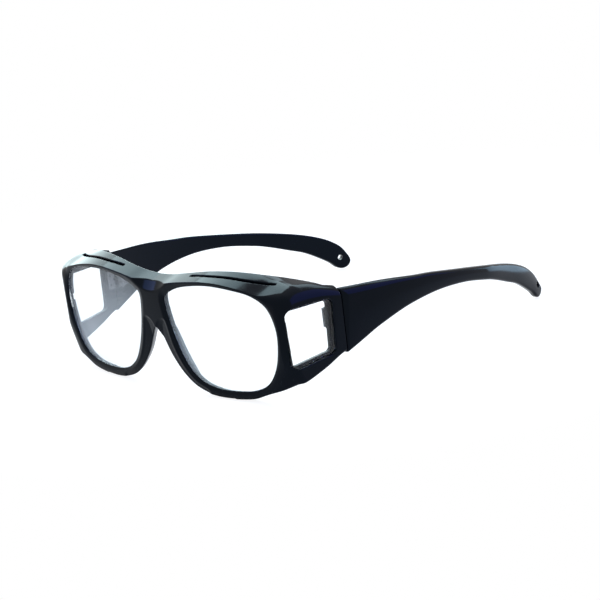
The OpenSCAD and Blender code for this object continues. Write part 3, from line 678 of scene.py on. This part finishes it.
def plastic():
    m, nodes, links = new_material("black_gloss_plastic")
    out = new_node(nodes, "OutputMaterial")
    gloss = {"IOR": 1.5, "Specular IOR Level": 0.1, "Specular Tint": (0.6, 0.8, 1, 1)}
    bsdf = new_node(nodes, "BsdfPrincipled", gloss)
    coords = new_node(nodes, "TexCoord").outputs["Object"]
    links.new(bsdf.outputs["BSDF"], out.inputs["Surface"])
    colours = (0.001, 0.0013, 0.0034), (0.0018, 0.0022, 0.0054)
    toned(nodes, links, coords, {"Scale": 22, "Detail": 3}, (NOISE_LOW, NOISE_HIGH), colours, bsdf)
    noise(nodes, links, coords, scale=260, detail=4, low=0.08, high=0.14, to=bsdf.inputs["Roughness"])
    bump = new_node(nodes, "Bump", {"Strength": 0.04, "Distance": 0.0002})
    grain = new_node(nodes, "TexNoise", {"Scale": 420, "Detail": 2})
    links.new(coords, grain.inputs["Vector"])
    links.new(grain.outputs["Fac"], bump.inputs["Height"])
    links.new(bump.outputs["Normal"], bsdf.inputs["Normal"])
    return m


# Clear lens with a slight haze that fades upwards, and gloss that grows where it is seen at a slant
HAZE_FROM_Z, HAZE_TO_Z, FACING_POWER, FACING_GLOSS = 0.006, 0.042, 5, 0.02


def clear(name, haze_top, haze_low):
    m, nodes, links = new_material(name)
    out = new_node(nodes, "OutputMaterial")
    hazy, shiny = new_node(nodes, "MixShader"), new_node(nodes, "MixShader")
    see = new_node(nodes, "BsdfTransparent", {"Color": (0.995, 1, 1, 1)})
    haze = new_node(nodes, "BsdfTranslucent", {"Color": (0.9, 0.98, 1, 1)})
    gloss = new_node(nodes, "BsdfGlossy")
    facing = new_node(nodes, "LayerWeight", {"Blend": 0.5})
    coords = new_node(nodes, "TexCoord").outputs["Object"]
    noise(nodes, links, coords, scale=90, detail=3, low=0.015, high=0.035, to=gloss.inputs["Roughness"])
    axis, total = new_node(nodes, "SeparateXYZ"), new_node(nodes, "Math")
    rise = map_range(nodes, HAZE_FROM_Z, HAZE_TO_Z, haze_low, haze_top)
    total.operation = "MULTIPLY"
    links.new(coords, axis.inputs[0])
    links.new(axis.outputs["Z"], rise.inputs["Value"])
    links.new(rise.outputs["Result"], total.inputs[0])
    noise(nodes, links, coords, scale=14, detail=3, low=0.85, high=1.15, to=total.inputs[1])
    links.new(total.outputs[0], hazy.inputs["Fac"])
    power = new_node(nodes, "Math", {1: FACING_POWER})
    power.operation = "POWER"
    fresnel = new_node(nodes, "MapRange", {"To Min": FACING_GLOSS, "To Max": 1})
    links.new(facing.outputs["Facing"], power.inputs[0])
    links.new(power.outputs[0], fresnel.inputs["Value"])
    links.new(fresnel.outputs["Result"], shiny.inputs["Fac"])
    links.new(see.outputs["BSDF"], hazy.inputs[1])
    links.new(haze.outputs["BSDF"], hazy.inputs[2])
    links.new(hazy.outputs["Shader"], shiny.inputs[1])
    links.new(gloss.outputs["BSDF"], shiny.inputs[2])
    links.new(shiny.outputs["Shader"], out.inputs["Surface"])
    return m


def metal():
    m, nodes, links = new_material("plated_hinge")
    out = new_node(nodes, "OutputMaterial")
    bsdf = new_node(nodes, "BsdfPrincipled", {"Metallic": 1.0})
    coords = new_node(nodes, "TexCoord").outputs["Object"]
    stretch = new_node(nodes, "Mapping", {"Scale": (1, 1, 9)})
    along = stretch.outputs["Vector"]
    links.new(coords, stretch.inputs["Vector"])
    links.new(bsdf.outputs["BSDF"], out.inputs["Surface"])
    colours = (0.07, 0.075, 0.085), (0.13, 0.135, 0.15)
    toned(nodes, links, along, {"Scale": 500}, (0, 1), colours, bsdf)
    noise(nodes, links, along, scale=900, detail=2, low=0.2, high=0.34, to=bsdf.inputs["Roughness"])
    return m


PLASTIC, METAL = plastic(), metal()
CLEAR = clear("clear_lens", haze_top=0.055, haze_low=0.17)
SIDE_CLEAR = clear("clear_side_lens", haze_top=0.004, haze_low=0.01)

# Frame and temples
v, f, n = surface(
    front_frame,
    lines((-75.2, -64, 0.36), (-64, 64, 0.42), (64, 75.2, 0.36)),
    lines((-1.5, 16, 0.32), (16, 37.2, 0.45)),
    lines((-0.8, 42, 0.42), (42, 52.2, 0.3)),
)
add("frame_front", v, f, "front", ["front_frame"], PLASTIC, n)
v, f, n = surface(temple, lines((54, 79, 0.4)), lines((35.9, 169.2, 0.5)), lines((-0.9, 42, 0.45)))
add("temple_arm_left", v, f, "temple_left", ["temple_left"], PLASTIC, n)
v, f = mirrored(v, f)
add("temple_arm_right", v, f, "temple_right", ["temple_right"], PLASTIC, n * [-1, 1, 1])

# Lenses, with the middles of their rings as shares of their sizes
LENS_MIDDLE, WINDOW_MIDDLE = 0.52, 0.5
lens_outline = closed_curve(lens_points, 8)
lens_outline = lens_outline + (LIP_W - LENS_GAP) * normals_of(lens_outline)
centre = (LENS_X + LENS_MIDDLE * LENS_W, RIM_LOW + LENS_MIDDLE * LENS_H)
v, f = plate(lens_outline, centre, front_point(LIP_T), front_point(LIP_T + LENS_T))
add("lens_clear_left", v, f, "front", ["lens_left"], CLEAR)
v, f = mirrored(v, f)
add("lens_clear_right", v, f, "front", ["lens_right"], CLEAR)
side_outline = rounded_polygon(window_corners, -LENS_GAP, WINDOW_R - LENS_GAP)
centre = (WINDOW_Y + WINDOW_MIDDLE * WINDOW_LEN, WINDOW_Z + WINDOW_MIDDLE * WINDOW_H)
v, f = plate(side_outline, centre, side_point(SIDE_LENS_SET), side_point(SIDE_LENS_SET + SIDE_LENS_T), rings=12)
add("side_lens_clear_left", v, f, "front", ["side_lens_left"], SIDE_CLEAR)
v, f = mirrored(v, f)
add("side_lens_clear_right", v, f, "front", ["side_lens_right"], SIDE_CLEAR)

# Hinge pieces keep their construction shape
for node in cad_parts:
    if "hinge" in node or "screw" in node:
        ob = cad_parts[node]
        ob.data.materials.clear()
        ob.data.materials.append(METAL)


# One for the rays that look at a thing: straight, reflected or through clear material
def looked_at(nodes, links):
    path = new_node(nodes, "LightPath")
    total = path.outputs["Is Camera Ray"]
    for kind in ("Is Glossy Ray", "Is Transmission Ray"):
        larger = new_node(nodes, "Math")
        larger.operation = "MAXIMUM"
        links.new(total, larger.inputs[0])
        links.new(path.outputs[kind], larger.inputs[1])
        total = larger.outputs[0]
    return total


# Round pale table with a soft edge, in metres, white to look at and dimmer for the light that it throws
FLOOR_AT, FLOOR_R, FLOOR_FADE, FLOOR_SIDES = (-0.06, 0.06, -0.0005), 0.262, 0.19, 96
TABLE_GLOW, TABLE_GLOW_SHARE = 1.36, 0.65
me = bpy.data.meshes.new("floor")
turns = [k * math.pi / (FLOOR_SIDES / 2) for k in range(FLOOR_SIDES)]
me.from_pydata([(FLOOR_R * math.cos(t), FLOOR_R * math.sin(t), 0) for t in turns], [], [list(range(FLOOR_SIDES))])
floor = bpy.data.objects.new("floor", me)
floor.location = FLOOR_AT
bpy.context.scene.collection.objects.link(floor)
pale_floor, nodes, links = new_material("pale_floor")
out = new_node(nodes, "OutputMaterial")
white_part = new_node(nodes, "MixShader", {"Fac": TABLE_GLOW_SHARE})
choose, fade = new_node(nodes, "MixShader"), new_node(nodes, "MixShader")
flat = new_node(nodes, "BsdfDiffuse", {"Color": (0.6, 0.65, 0.7, 1)})
pale = new_node(nodes, "BsdfDiffuse", {"Color": (0.9, 0.9, 0.9, 1)})
glow = new_node(nodes, "Emission", {"Strength": TABLE_GLOW})
clear_edge, length = new_node(nodes, "BsdfTransparent"), new_node(nodes, "VectorMath")
span = new_node(nodes, "MapRange", {"From Min": FLOOR_FADE, "From Max": FLOOR_R})
links.new(pale.outputs["BSDF"], white_part.inputs[1])
links.new(glow.outputs["Emission"], white_part.inputs[2])
links.new(looked_at(nodes, links), choose.inputs["Fac"])
links.new(flat.outputs["BSDF"], choose.inputs[1])
links.new(white_part.outputs["Shader"], choose.inputs[2])
length.operation = "LENGTH"
links.new(new_node(nodes, "TexCoord").outputs["Object"], length.inputs[0])
span.interpolation_type = "SMOOTHSTEP"
links.new(length.outputs["Value"], span.inputs["Value"])
links.new(span.outputs["Result"], fade.inputs["Fac"])
links.new(choose.outputs["Shader"], fade.inputs[1])
links.new(clear_edge.outputs["BSDF"], fade.inputs[2])
links.new(fade.outputs["Shader"], out.inputs["Surface"])
me.materials.append(pale_floor)

# Studio: a white room to look at, and a dim one for the light that it throws
world = bpy.data.worlds.new("studio")
bpy.context.scene.world = world
world.use_nodes = True
nodes, links = world.node_tree.nodes, world.node_tree.links
nodes.clear()
out, pick = new_node(nodes, "OutputWorld"), new_node(nodes, "MixShader")
room = new_node(nodes, "Background", {"Color": (0.3, 0.33, 0.38, 1)})
white = new_node(nodes, "Background", {"Color": (1, 1, 1, 1)})
links.new(looked_at(nodes, links), pick.inputs["Fac"])
links.new(room.outputs["Background"], pick.inputs[1])
links.new(white.outputs["Background"], pick.inputs[2])
links.new(pick.outputs["Shader"], out.inputs["Surface"])


def toward(azimuth, height):
    a, e = math.radians(azimuth), math.radians(height)
    return Vector((math.cos(a) * math.cos(e), math.sin(a) * math.cos(e), math.sin(e)))


AIM = Vector((0, 0, 0.02))


def panel(name, azimuth, height, far, size, level, colour):
    data = bpy.data.lights.new(name, "AREA")
    data.shape, data.size, data.size_y, data.color = "RECTANGLE", size[0], size[1], colour
    data.energy = level * math.pi * size[0] * size[1]
    ob = bpy.data.objects.new(name, data)
    ob.location = AIM + far * toward(azimuth, height)
    ob.rotation_euler = (AIM - ob.location).to_track_quat("-Z", "Y").to_euler()
    bpy.context.scene.collection.objects.link(ob)
    return ob


# Lamps: direction in degrees, distance and size in metres, level and colour
panel("softbox_behind_high", 156, 48, 0.9, (0.46, 0.48), 6.6, (0.74, 0.97, 1.0))
panel("softbox_behind_low", 156, 15, 0.9, (0.61, 0.56), 3.3, (0.76, 0.97, 1.0))
panel("strip_behind", 106, 47, 0.9, (0.64, 0.18), 4.8, (0.74, 0.93, 1.0))
panel("low_panel_behind", 80.5, 1, 0.92, (0.4, 0.42), 4.0, (0.5, 0.76, 1.0))
panel("blue_panel_behind", 38, 30, 0.9, (0.66, 0.74), 1.9, (0.04, 0.08, 1.0))
panel("fill_front_left", 221, 25, 1.0, (0.46, 0.3), 3.4, (0.28, 0.41, 1.0))
top_light = panel("soft_top", 150, 80, 1.2, (0.9, 0.9), 0.9, (1, 1, 1))
top_light.visible_glossy = False

# Camera at the photograph's viewpoint: millimetres before the shift to the shared frame, and degrees
VIEW_POINT, VIEW_AZIMUTH, VIEW_HEIGHT, VIEW_ROLL = (745.506, -592.648, 293.107), 47.906, 15.48, -7.118
FOCAL_PIXELS, IMAGE_PIXELS, SENSOR = 2421.8, 600, 36
a, e, roll = math.radians(VIEW_AZIMUTH), math.radians(VIEW_HEIGHT), math.radians(VIEW_ROLL)
right = Vector((math.cos(a), math.sin(a), 0))
up = Vector((-math.sin(a) * math.sin(e), math.cos(a) * math.sin(e), math.cos(e)))
look = Vector((math.sin(a) * math.cos(e), -math.cos(a) * math.cos(e), math.sin(e)))
tilted_right = math.cos(roll) * right + math.sin(roll) * up
tilted_up = -math.sin(roll) * right + math.cos(roll) * up
camera = bpy.data.objects.new("camera", bpy.data.cameras.new("camera"))
bpy.context.scene.collection.objects.link(camera)
camera.data.sensor_width, camera.data.lens = SENSOR, FOCAL_PIXELS * SENSOR / IMAGE_PIXELS
camera.data.clip_start, camera.data.clip_end = 0.05, 20
pose = Matrix((tilted_right, tilted_up, look)).transposed().to_4x4()
pose.translation = Vector((VIEW_POINT[0], VIEW_POINT[1] - MID_Y, VIEW_POINT[2])) / 1000
camera.matrix_world = pose
bpy.context.scene.camera = camera
bpy.context.scene.view_settings.view_transform = "Standard"
